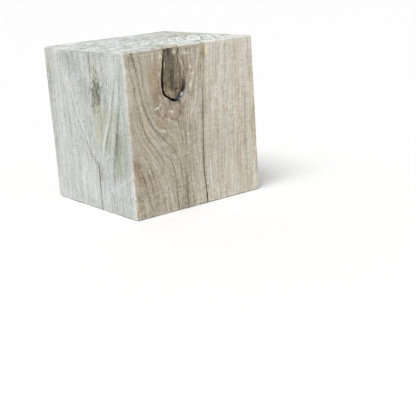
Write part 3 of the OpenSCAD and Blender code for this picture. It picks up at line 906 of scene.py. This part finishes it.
# How light the wood is. The front is paler right of its check, a little paler at its
# lower left and in its upper left corner, and darker in its lower left corner.
store("tone", sum([
    0.3 * on_front * smooth(-0.5, 3.0, x - 6 - 0.045 * (z - 50)),
    0.03 * on_front * smooth(46, 30, z) * smooth(10, -5, x),
    0.07 * on_front * smooth(60, 75, z) * smooth(-28, -34, x),
    0.03 * on_front * smooth(36, 44, z) * smooth(-34, -40, x),
    -0.05 * on_front * smooth(20, 12, z) * smooth(-30, -40, x),
    # left of the knot's right edge
    patches(FRONT, [
        (64, 38, 14, 2.6, 18, -0.1), (66, 9, 24, 8, 13, -0.08, -0.35), (68, 30, 62, 12, 7, -0.06),
        (113, 21, 46.5, 3.2, 2.6, -0.12, -0.6, 0.4), (240, 38, 52, 3, 14, -0.08),
        (116, 33.5, 14, 1.2, 16, 0.08), (119, 38.7, 12, 2.2, 14, -0.1),
        (127, 26, 89.5, 0.9, 3.5, 0.16, 0.1), (242, 36, 96.4, 1.7, 2, 0.3), (253, 32, 61.5, 4, 3.5, 0.12),
        (254, 38, 47, 3, 14, -0.06), (258, 3, 3, 4, 5, -0.1), (260, 20, 70, 6, 8, -0.08),
    ]),
    stripe(FRONT, 115, -0.26, 0.3, [
        (27, 36, 0.4), (29, 31, 0.5), (30.4, 22, 0.6), (30.9, 12, 0.5), (31.3, 0, 0.5),
    ]),
    # between the knot and the front check
    patches(FRONT, [
        (238, 46, 14, 4, 14, 0.12, -0.05), (122, 50.5, 26, 2.2, 26, 0.12, -0.05),
        (123, 46, 40, 1.6, 30, 0.06, -0.05), (125, 42.2, 86, 2, 9, -0.24, -0.1, 0.3),
        (60, 51, 80, 4, 17, 0.05, 0.1), (118, 48, 62, 5, 5, 0.1), (251, 52, 65, 4, 6, 0.12),
        (255, 46, 4, 4, 5, 0.1),
    ]),
    stripe(FRONT, 126, -0.28, 0.3, [(44.2, 92, 0.4), (44.8, 86, 0.5), (45.2, 80, 0.5), (44.6, 74, 0.4)]),
    stripe(FRONT, 110, 0.3, 0.5, [
        (53.5, 97, 0.7), (52.3, 91, 0.9), (50.6, 85.5, 1), (49, 81, 1.2), (47.4, 77, 1.2),
        (45.8, 72.5, 0.9),
    ]),
    stripe(FRONT, 111, 0.22, 0.5, [
        (54.5, 98, 0.6), (52.3, 86, 0.6), (50.8, 74, 0.7), (48.5, 64, 0.7), (44, 56, 0.6),
    ]),
    stripe(FRONT, 112, -0.06, 0.4, [(50.6, 92, 0.4), (50.2, 82, 0.5), (48.4, 73, 0.5), (46.5, 66, 0.4)]),
    # along the check and right of it
    patches(FRONT, [
        (233, 60, 40, 3.5, 26, -0.1), (234, 73, 36, 12, 20, -0.09), (235, 89, 88, 6, 20, 0.1),
        (236, 96, 38, 4.5, 24, -0.16), (237, 96, 97, 3, 4, 0.12), (239, 66, 84, 3, 20, 0.1, 0.03),
        (124, 66, 60, 3, 8, 0.04), (250, 57, 87, 4.5, 9, -0.09), (252, 80, 88, 4, 12, 0.08),
        (256, 67, 8, 4, 7, -0.09), (257, 95, 5, 3, 5, 0.13), (259, 60, 54, 3, 6, -0.06),
        (271, 66, 30, 5, 22, -0.05), (272, 78, 36, 4, 14, -0.06), (128, 59.8, 96, 1, 3, 0.3, 0.07, 0.2),
        (150, 61.5, 50, 0.9, 60, 0.1, 0.03, 0.3), (151, 68.5, 50, 1.2, 60, 0.1, 0.03, 0.4),
        (152, 75, 50, 0.9, 60, 0.1, 0.03, 0.4), (153, 79, 50, 0.8, 60, 0.1, 0.02, 0.4),
        (154, 83, 50, 0.9, 60, -0.16, 0.02, 0.4), (155, 87.4, 50, 0.7, 60, -0.16, 0.01, 0.4),
        (156, 65, 50, 0.7, 60, -0.12, 0.03, 0.4),
    ]),
    0.03 * on_left,
    0.12 * on_left * smooth(-10, 30, y),
    0.16 * on_left * smooth(-42.5, -44.5, y),
    patches(LEFT, [
        (230, 2.5, 76, 5, 22, -0.14), (231, 11, 34, 4, 34, 0.08, 0.05), (232, 57, 11, 12, 10, 0.08),
        (130, 35, 91, 9, 9, -0.16), (131, 45, 76, 6, 9, -0.07), (261, 89, 97, 4, 4, 0.15),
        (262, 81, 54, 3.5, 4, 0.12), (263, 60, 21, 5, 5, -0.08), (264, 38, 6, 4, 6, -0.09),
        (265, 38, 40, 3, 6, -0.08), (266, 2.5, 56, 4, 18, -0.07), (267, 24, 95, 5, 5, -0.09),
        (132, 42, 16, 13, 14, 0.09), (134, 46, 90, 5, 8, 0.06), (135, 52.5, 88, 1.4, 9, 0.14),
        (137, 80, 17, 10, 5, 0.1, 0.4), (139, 78, 92, 9, 8, 0.16), (142, 84, 75, 3, 20, 0.04),
        (145, 12, 60, 4, 30, 0.05, 0.1),
    ]),
    0.22 * on_top,
    patches(TOP, [
        (147, 10, 80, 20, 20, 0.1), (148, 72, 18, 26, 22, 0.16, 0, 0.4),
        (179, 30, 20, 26, 14, 0.06, 0, 0.4), (176, 46, 68, 14, 3, -0.14, -0.4, 0.6),
        (177, 30, 78, 9, 3, -0.1, -0.4, 0.6), (178, 20, 60, 9, 3, 0.1, -0.4, 0.6),
    ]),
    # painted light: the back, the right side and the bottom are lighter to offset the shade they stand in
    0.16 * hidden,
]))
# How strongly the growth rings show
store("figure", np.clip(sum([
    0.45,
    -0.45 * on_front * smooth(56, 32, z) * smooth(-8, -22, x),
    -0.2 * on_front * smooth(66, 80, z) * smooth(-22, -34, x),
    -0.1 * smooth(4, 12, x - 6) * (behind < 2),
    -0.15 * on_left,
    -0.05 * on_top,
    0.2 * hidden,
    stripe(FRONT, 143, -0.18, 0.3, [(29, 38, 3), (20.5, 50, 5), (14.5, 60, 5), (12, 66, 4)]),
    patch(TOP, 149, 72, 26, 17, 24, 0.8, 0, 0.3),
]), 0, 2))

# the weathered wood below a buried dead knot on the left face, whose edges lean with
# the grain, and the yellowed wood beside it
LEAN = 0.285
weathered_from = along - 71.9 - LEAN * (z - 22.8)
from_middle = along - LEAN * (z - 40)
weathered = on_left * smooth(-0.7, 0.7, z - 22.5 - 0.33 * (along - 72)) * smooth(60, 46, z)
weathered *= smooth(-0.5, 0.7, weathered_from) * (1 - 0.6 * smooth(77, 92, from_middle))
fading = (1 - 0.4 * smooth(36, 28, z)) * (1 - 0.35 * smooth(80, 86, from_middle))
core = smooth(81, 76, from_middle) * smooth(34, 42, z)
yellowed = on_left * smooth(53.5, 57, along) * smooth(70, 62, z) * smooth(35, 45, z)
past_first = along - 62 - 0.43 * (z - 36)
past_second = along - 77.5 - 0.3 * (z - 40)
# Rows of a tint: the ratios of red, green and blue, and then a patch's row
store("tint", tint([
    (yellowed * smooth(1, -4, past_first), 0.96, 0.955, 0.905),
    (yellowed * smooth(0, 1.5, past_first) * smooth(0.5, -1, past_second), 0.92, 0.915, 0.865),
    (weathered * fading, 0.82, 0.815, 0.75),
    (weathered * core, 0.84, 0.84, 0.82),
    (stripe(TOP, 85, 1, 0.3, [
        (45, 49.4, 0.9), (58, 45.5, 1.2), (67, 46.5, 1.3), (78, 50, 1.6), (90, 51, 1.4),
    ]), 0.88, 0.84, 0.79),
    (stripe(TOP, 87, 1, 0.3, [
        (30, 12, 1.2), (33, 21, 1.5), (38, 20, 1.5), (41, 14, 1.4), (40, 7, 1.2),
    ]), 0.9, 0.87, 0.81),
    *tints(LEFT, [
        (0.985, 0.98, 0.93, 160, 60, 87.5, 4.2, 4, 1, 0, 0.6),
        (1.005, 0.975, 0.96, 163, 60.5, 52, 3.5, 13, 0.8, 0.2, 0.8),
        (0.975, 0.975, 0.94, 165, 66, 60, 3, 5, 0.8, 0.3, 0.8),
        (0.985, 0.995, 1.01, 164, 5, 50, 8, 70, 1, 0, 0.3),
        (1, 0.945, 0.935, 173, 57, 21.5, 2.8, 3.2, 1, 0, 0.4),
        (0.975, 0.985, 1, 174, 45, 80, 7, 14, 1, 0, 0.4),
        (0.98, 0.99, 1.005, 175, 78, 18, 14, 8, 1, 0.3, 0.4),
    ]),
    *tints(FRONT, [
        (0.9, 0.84, 0.785, 70, 21, 79, 5.5, 13, 1, 0.05),
        (0.95, 0.89, 0.84, 72, 24.5, 58, 4.5, 7, 0.8, -0.3), (0.95, 0.89, 0.84, 74, 34, 61, 9, 5, 0.5),
        (0.97, 0.93, 0.87, 76, 6.5, 25, 4.5, 9, 0.6, -0.35), (1, 0.985, 0.89, 75, 26.3, 90, 1, 4, 1, 0.1),
        (0.86, 0.82, 0.69, 100, 57.7, 93.6, 1.2, 4.6, 1, 0.04, 0.3),
        (1.02, 1.01, 0.94, 249, 59.9, 95, 1.3, 4.2, 1, 0.04, 0.3),
        (0.99, 0.965, 0.94, 101, 83, 50, 1.6, 60, 1, 0.02),
        (0.995, 0.98, 0.945, 241, 96, 42, 5, 26, 1, 0, 0.3),
        (1.01, 0.985, 0.95, 103, 45.5, 85, 2.5, 9, 1, 0.05),
        (0.99, 0.975, 0.94, 247, 10, 62, 5, 24, 1, -0.05, 0.4),
        (0.975, 0.965, 0.935, 248, 58, 82, 4, 9, 1, 0.05, 0.4),
        (0.55, 0.55, 0.5, 276, 54.4, 11.2, 0.9, 0.6, 1, 0, 0.1),
        # within the dead knot
        (0.72, 0.7, 0.66, 180, 29.2, 97.7, 0.8, 1.1, 1, 0, 0.2),
        (0.7, 0.68, 0.66, 181, 31.8, 96, 0.8, 1.6, 1, 0, 0.2),
        (0.78, 0.75, 0.73, 182, 32.2, 91.8, 0.7, 3.4, 1, -0.05, 0.2),
        (0.9, 0.84, 0.76, 183, 29.4, 88.5, 0.6, 4, 1, 0.12, 0.2),
        (0.9, 0.9, 0.9, 184, 32.4, 84, 0.8, 3, 1, -0.05, 0.2),
        (0.93, 0.83, 0.83, 185, 33, 78, 1.8, 2.6, 1, -0.2, 0.3),
        (1.4, 1.4, 1.3, 186, 29.8, 73.6, 3.6, 3.6, 1, -0.3, 0.3),
        (1, 1.02, 1.12, 243, 32, 71.8, 2.4, 2.2, 1, -0.3, 0.3),
        (0.66, 0.6, 0.56, 227, 41.8, 76, 1.3, 3.6, 1, 0.12, 0.2),
        (1.14, 1.12, 1, 187, 32.6, 71.8, 1.6, 1.8, 1, 0, 0.3),
        (0.95, 0.87, 0.76, 188, 34.4, 73, 0.8, 1.6, 1, 0, 0.3),
        (1.3, 1.27, 1.2, 189, 36.9, 73.6, 1.6, 1.3, 1, 0, 0.3),
        (0.5, 0.48, 0.5, 190, 36, 74.9, 1.1, 0.6, 1, 0, 0.1),
        (1, 1.03, 0.92, 191, 38.6, 79, 1.2, 3, 1, 0.1, 0.3),
        (0.62, 0.58, 0.54, 193, 38.8, 97, 0.55, 2.4, 1, 0, 0.1),
        (0.9, 0.92, 0.9, 194, 31, 97.5, 2.4, 2, 1, 0, 0.3),
        (1.14, 1.11, 1.02, 244, 38.2, 76.8, 1.8, 2.6, 1, 0, 0.3),
        (0.6, 0.6, 0.6, 195, 31.5, 99, 0.6, 0.7, 1, 0, 0.1),
        # stained wood just under it; under the gum the dark spot is partly a stain and partly painted shade
        (0.5, 0.51, 0.43, 245, 37.2, 67, 1.5, 1.2, 1, 0, 0.3),
        (0.8, 0.77, 0.73, 246, 33, 66.6, 4, 1.2, 0.8, 0.1, 0.4),
    ]),
    *tints(TOP, [
        (0.93, 0.88, 0.78, 229, 34, 4, 8, 5, 1, 0, 0.3), (0.965, 0.945, 0.92, 84, 70, 60, 24, 10, 1, 0.3),
    ]),
]))


# ---------------------------------------------------------------- the material

oak = bpy.data.materials.new("limed_oak")
oak.use_nodes = True
oak.node_tree.nodes.clear()


class Signal:
    """What a node gives. Each sum with it adds a node."""

    def __init__(self, socket):
        self.socket = socket

    def __add__(self, other):
        return math_node("ADD", self, other)

    def __sub__(self, other):
        return math_node("SUBTRACT", self, other)

    def __rsub__(self, other):
        return math_node("SUBTRACT", other, self)

    def __mul__(self, other):
        return math_node("MULTIPLY", self, other)

    def __abs__(self):
        return math_node("ABSOLUTE", self)

    __radd__ = __add__
    __rmul__ = __mul__


def put(kind, inputs, output=0, **settings):
    """Add a node to the material, and give one of its outputs if it has any"""
    node = oak.node_tree.nodes.new(kind)
    for name, value in settings.items():
        setattr(node, name, value)
    for name, value in inputs.items():
        if isinstance(value, Signal):
            oak.node_tree.links.new(value.socket, node.inputs[name])
        else:
            node.inputs[name].default_value = value
    return Signal(node.outputs[output]) if node.outputs else None


def math_node(operation, *values):
    return put("ShaderNodeMath", dict(enumerate(values)), operation=operation)


def clamped(signal):
    """The same signal, held between 0 and 1"""
    signal.socket.node.use_clamp = True
    return signal


def stored(name, output="Fac"):
    """What store gave the vertices under this name"""
    return put("ShaderNodeAttribute", {}, output, attribute_name=name)


def noise_node(vector, scale, detail=1.0, rough=0.5, distortion=0.0):
    """Noise from about -1 to 1"""
    place = put("ShaderNodeVectorMath", {0: vector, 1: scale}, operation="MULTIPLY")
    inputs = {"Vector": place, "Scale": 1.0, "Detail": detail, "Roughness": rough, "Distortion": distortion}
    return math_node("MULTIPLY_ADD", put("ShaderNodeTexNoise", inputs, "Fac"), 4.0, -2.0)


def linear(red, green, blue):
    """A colour as a screen shows it, from 0 to 255, in the light that it stands for"""
    shares = [value / 255 for value in (red, green, blue)]
    return (*(s / 12.92 if s <= 0.04045 else ((s + 0.055) / 1.055) ** 2.4 for s in shares), 1.0)


def ramp(signal, stops):
    """Greys or colours that blend from one stop to the next along a signal"""
    result = put("ShaderNodeValToRGB", {"Fac": signal}, "Color")
    elements = result.socket.node.color_ramp.elements
    while len(elements) < len(stops):
        elements.new(0.5)
    for element, (position, colour) in zip(elements, stops):
        element.position = position
        element.color = linear(*colour) if isinstance(colour, tuple) else (colour, colour, colour, 1)
    return result


def shades(signal, *colours):
    """A ramp whose stops are evenly spaced from 0 to 1"""
    return ramp(signal, [(i / (len(colours) - 1), colour) for i, colour in enumerate(colours)])


def mix(share, a, b, blend="MIX"):
    return put("ShaderNodeMix", {0: share, 6: a, 7: b}, 2, data_type="RGBA", blend_type=blend)


def between(signal, low, high, to_high=1.0):
    """0 at low and to_high at high, with soft ends"""
    inputs = {"Value": signal, "From Min": low, "From Max": high, "To Min": 0.0, "To Max": to_high}
    return put("ShaderNodeMapRange", inputs, interpolation_type="SMOOTHSTEP")


def draw_oak():
    """The material's nodes, from the wood's own lines to the gum on top of them"""
    trunk = stored("trunk", "Vector")
    rings = stored("rings")
    figure = stored("figure")
    spread = stored("spread")
    end = stored("end")
    cool_light_share = stored("cool_light")
    body = put("ShaderNodeTexCoord", {}, "Object")

    # streaks along the fibres, each as wide where the fibres are spread as elsewhere
    weights = [clamped(1.0 - abs(spread - float(octave))) for octave in range(4)]

    def streaks(width, length):
        whole = 0.0
        for octave, weight in enumerate(weights):
            thin = 2.0**octave / width
            whole = noise_node(trunk, (thin, thin, 1 / length)) * weight + whole
        return whole

    broad = streaks(4.5, 150.0)
    medium = streaks(1.5, 70.0)
    fine = streaks(0.7, 22.0)
    pores = streaks(0.55, 2.8)

    # growth rings: late wood, then a line of large pores that are filled with lime
    turn = stored("turns") + fine * 0.02 + noise_node(trunk, (0.3, 0.3, 0.04)) * 0.04
    phase = math_node("FRACT", turn)
    year = math_node("FLOOR", turn)
    luck = put("ShaderNodeTexWhiteNoise", {"W": year}, "Value", noise_dimensions="1D")
    faded = noise_node(trunk, (0.12, 0.12, 0.035))
    ring_shape = ramp(phase, [
        (0.0, 0.80), (0.10, 0.84), (0.19, 0.52), (0.27, 0.30), (0.44, 0.42), (0.70, 0.53),
        (0.86, 0.46), (0.94, 0.22), (0.98, 0.30),
    ])
    end_shape = ramp(phase, [
        (0.0, 1.0), (0.13, 1.0), (0.20, 0.55), (0.26, 0.22), (0.42, 0.34), (0.65, 0.50),
        (0.86, 0.40), (0.94, 0.55),
    ])
    strength = clamped(luck * 0.4 + (faded * 0.4 + 0.8))

    mottle = noise_node(body, (45.0, 45.0, 20.0), 2.0)
    cloud = noise_node(body, (170.0, 170.0, 95.0))
    blotch = noise_node(body, (420.0, 420.0, 420.0), 2.0, 0.6)
    grit = noise_node(body, (1500.0, 1500.0, 1100.0), 1.0, 0.6)
    marks = noise_node(body, (160.0, 160.0, 1300.0))
    side_tone = (
        cloud * 0.06 + broad * 0.06 + medium * 0.09 + fine * (blotch * 0.14 + 0.2) + pores * 0.16
        + (ring_shape - 0.5) * strength * figure * 0.5
        + mottle * 0.06 + grit * 0.13 + marks * 0.08 + blotch * 0.08
    )

    # end grain: rings, and fine rays out from the pith
    parts = put("ShaderNodeSeparateXYZ", {0: trunk}).socket.node.outputs
    angle = math_node("ARCTAN2", Signal(parts["Y"]), Signal(parts["X"]))
    around = put("ShaderNodeCombineXYZ", {"X": angle, "Y": rings})
    rays = noise_node(around, (60.0, 0.15, 1.0))
    swath = noise_node(around, (4.0, 0.22, 1.0), 2.0)
    speck = noise_node(trunk, (1.6, 1.6, 0.4), 2.0, 0.6)
    patchwork = noise_node(body, (150.0, 150.0, 150.0), 2.0)
    end_tone = (
        (end_shape - 0.5) * (strength * figure) * 1.1 + rays * 0.17 + speck * 0.32 + mottle * 0.20
        + swath * 0.34 + patchwork * 0.34
    )

    # the arrises' paler tone is partly rubbed lime and partly a painted highlight
    tone = (
        0.5 + side_tone * (1.0 - end) + end_tone * end + stored("tone")
        + stored("arris") * (speck * 0.1 + 0.14)
    )
    shade = tone * 0.8
    # the wood's colours, and a cooler copy of them, which is painted cool light falling from the left
    warm = shades(
        shade, (106, 93, 75), (153, 141, 121), (188, 178, 160),
        (208, 200, 185), (228, 223, 210), (240, 237, 228),
    )
    cool_light = shades(
        shade, (112, 110, 96), (160, 161, 151), (193, 197, 191),
        (211, 215, 211), (231, 234, 230), (246, 247, 244),
    )
    colour = mix(cool_light_share, warm, cool_light)

    # the dead knot, with its soft right edge, and the pale sliver at its top
    knot = between(stored("knot") + grit * 0.2, -0.35, 0.5) * (1.0 - stored("sliver"))
    knot_fibre = noise_node(body, (720.0, 250.0, 95.0), 2.0, 0.6, 0.4)
    knot_tone = 0.53 + knot_fibre * 0.4 + grit * 0.2 + mottle * 0.2 + blotch * 0.22
    knot_colour = shades(knot_tone, (66, 57, 50), (122, 111, 95), (176, 163, 140))
    knot_hue = ramp(noise_node(body, (330.0, 150.0, 120.0)) * 0.35 + 0.5, [
        (0.1, (246, 238, 246)), (0.5, (250, 250, 250)), (0.9, (244, 252, 226)),
    ])
    colour = mix(knot, colour, mix(1.0, knot_colour, knot_hue, "MULTIPLY"))

    # stained, weathered and limed places
    patchy = 0.86 + fine * 0.3 + medium * 0.2 + grit * 0.25 + marks * 0.22 + blotch * 0.45
    tinted = mix(1.0, colour, stored("tint", "Vector"), "MULTIPLY")
    colour = mix(clamped(patchy), colour, tinted)

    # the lines that the grain draws, one painted highlight among the pale ones, and the dead wood over a
    # buried knot
    off_line = grit * 0.22 + blotch * 0.3 + fine * 0.12
    dark = between(stored("dark_far") + off_line, 1.5, 0.2) * stored("dark_line")
    dark = clamped(dark * (0.8 + blotch * 0.7 + medium * 0.5))
    colour = mix(dark, colour, linear(186, 184, 176), "MULTIPLY")
    pale = between(stored("pale_far") + off_line, 1.4, 0.3) * stored("pale_line")
    lime_and_highlight = mix(cool_light_share, linear(226, 219, 202), linear(229, 231, 221))
    colour = mix(clamped(pale * 0.62), colour, lime_and_highlight)
    mould = noise_node(body, (520.0, 520.0, 360.0), 3.0, 0.7)
    dead = (stored("dead") + mould + grit * 0.35) * between(stored("dead"), 0.02, 0.3)
    colour = mix(between(dead, 0.0, 1.0), colour, linear(202, 202, 190), "MULTIPLY")
    colour = mix(between(dead, 0.6, 1.6), colour, linear(184, 179, 171), "MULTIPLY")

    # crisp flecks of lime in torn grain
    fleck = stored("fleck") + blotch * 0.45 + grit * 0.35
    flake = mix(cool_light_share, linear(230, 224, 208), linear(220, 223, 216))
    colour = mix(between(fleck, 0.64, 1.0, 0.8), colour, flake)

    # a dark stain along each drying check
    off_crack = stored("crack") + grit * 0.12 + fine * 0.06
    stain = between(off_crack, 0.72, 0.25) * stored("stain")
    colour = mix(stain, colour, linear(110, 99, 74))

    # black bark along the gap round the knot
    off_gap = stored("rim") + grit * 0.16 + blotch * 0.14
    bark = between(off_gap, 1.15, 0.75) * stored("bark")
    colour = mix(bark, colour, linear(34, 26, 27))

    # walls of the checks and of the bark gap: darker brown as painted shade in these recesses, and black
    # where bark lines the gap
    inner = stored("inner")
    black = between(stored("rim"), 5.0, 3.0) * (stored("bark") * stored("bark"))
    colour = mix(inner, colour, mix(black, linear(146, 132, 106), linear(24, 17, 18)))

    # glossy dried gum, blue-black: its blue tint is a painted cool reflection, and the glints on it are
    # painted highlights
    gum = stored("gum")
    painted_glint_share = stored("painted_glint") + grit * 0.15 + blotch * 0.12
    gum_and_glint_colour = mix(between(painted_glint_share, 0.2, 0.8), linear(28, 31, 46), linear(208, 209, 224))
    colour = mix(gum, colour, gum_and_glint_colour)

    height = fine * 0.5 + pores * 0.5 + medium * 0.25 + grit * 0.3
    bump = put("ShaderNodeBump", {"Height": height, "Strength": 0.6, "Distance": 0.0002})
    rough = fine * 0.06 + (bark * -0.15 + 0.74)
    rough = put("ShaderNodeMix", {0: gum, 2: rough, 3: 0.12})
    shine = put("ShaderNodeMapRange", {"Value": gum, "To Min": 0.35, "To Max": 1.0})
    shine = math_node("MAXIMUM", shine * (1.0 - math_node("MAXIMUM", bark, inner)), gum)
    surface = {"Base Color": colour, "Roughness": rough, "Normal": bump, "Specular IOR Level": shine}
    put("ShaderNodeOutputMaterial", {"Surface": put("ShaderNodeBsdfPrincipled", surface)})


draw_oak()
block.data.materials.clear()
block.data.materials.append(oak)
block.data.polygons.foreach_set("material_index", np.zeros(len(block.data.polygons), dtype=np.int32))
block.data.shade_smooth()
block.data.set_sharp_from_angle(angle=math.radians(35))

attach(block, "root")
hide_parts("wood_cube")


# ---------------------------------------------------------------- stage, lamps, camera

FLOOR_REACH = 8.0
FLOOR_COLOUR = (0.965, 0.965, 0.965, 1)
WHITE = (1, 1, 1, 1)
LIGHT_FROM_ROUND = 0.45
LIGHT_OF_BACKDROP = 1.0
SUN_ENERGY = 2.1
SUN_ANGLE = math.radians(35)
SUN_WAY = Vector((0.28, 0.13, -0.6))

corners = np.array([(-1, -1, 0), (1, -1, 0), (1, 1, 0), (-1, 1, 0)]) * FLOOR_REACH / MM
floor = make_object("floor", make_mesh("floor", corners, [(0, 1, 2, 3)]))
pale_floor = bpy.data.materials.new("pale_floor")
pale_floor.use_nodes = True
floor_shader = pale_floor.node_tree.nodes["Principled BSDF"]
floor_shader.inputs["Base Color"].default_value = FLOOR_COLOUR
floor_shader.inputs["Roughness"].default_value = 0.9
floor_shader.inputs["Specular IOR Level"].default_value = 0.2
floor.data.materials.append(pale_floor)

# The world lights the block softly, and the camera sees it as white
studio = bpy.data.worlds.new("studio")
bpy.context.scene.world = studio
studio.use_nodes = True
nodes, links = studio.node_tree.nodes, studio.node_tree.links
nodes.clear()
ray = nodes.new("ShaderNodeLightPath")
pick = nodes.new("ShaderNodeMixShader")
result = nodes.new("ShaderNodeOutputWorld")
for place, strength in ((1, LIGHT_FROM_ROUND), (2, LIGHT_OF_BACKDROP)):
    glow = nodes.new("ShaderNodeBackground")
    glow.inputs["Color"].default_value = WHITE
    glow.inputs["Strength"].default_value = strength
    links.new(glow.outputs["Background"], pick.inputs[place])
links.new(ray.outputs["Is Camera Ray"], pick.inputs["Fac"])
links.new(pick.outputs["Shader"], result.inputs["Surface"])

sun = bpy.data.lights.new("key", "SUN")
sun.energy = SUN_ENERGY
sun.angle = SUN_ANGLE
key = make_object("key", sun)
key.rotation_euler = SUN_WAY.to_track_quat("-Z", "Y").to_euler()

# The photograph's camera: 416 pixels across, fitted to the block's corners
PICTURE = 416
FOCAL_PX = 920.3
SENSOR = 36.0
AZIMUTH = math.radians(37.0)
PITCH = math.radians(15.72)
ROLL = math.radians(-3.878)
CAMERA_PLACE = Vector((-0.3312, -0.4929, 0.1538))

ahead = Vector(
    (math.sin(AZIMUTH) * math.cos(PITCH), math.cos(AZIMUTH) * math.cos(PITCH), -math.sin(PITCH))
)
sideways = ahead.cross(Vector((0, 0, 1))).normalized()
upright = sideways.cross(ahead)
right = sideways * math.cos(ROLL) + upright * math.sin(ROLL)
up = upright * math.cos(ROLL) - sideways * math.sin(ROLL)
lens = bpy.data.cameras.new("camera")
lens.sensor_width = SENSOR
lens.lens = SENSOR * FOCAL_PX / PICTURE
lens.clip_start = 0.01
camera = make_object("camera", lens)
turn = Matrix((right, up, -ahead)).transposed().to_4x4()
camera.matrix_world = Matrix.Translation(CAMERA_PLACE) @ turn
bpy.context.scene.camera = camera

bpy.context.scene.view_settings.view_transform = "Standard"
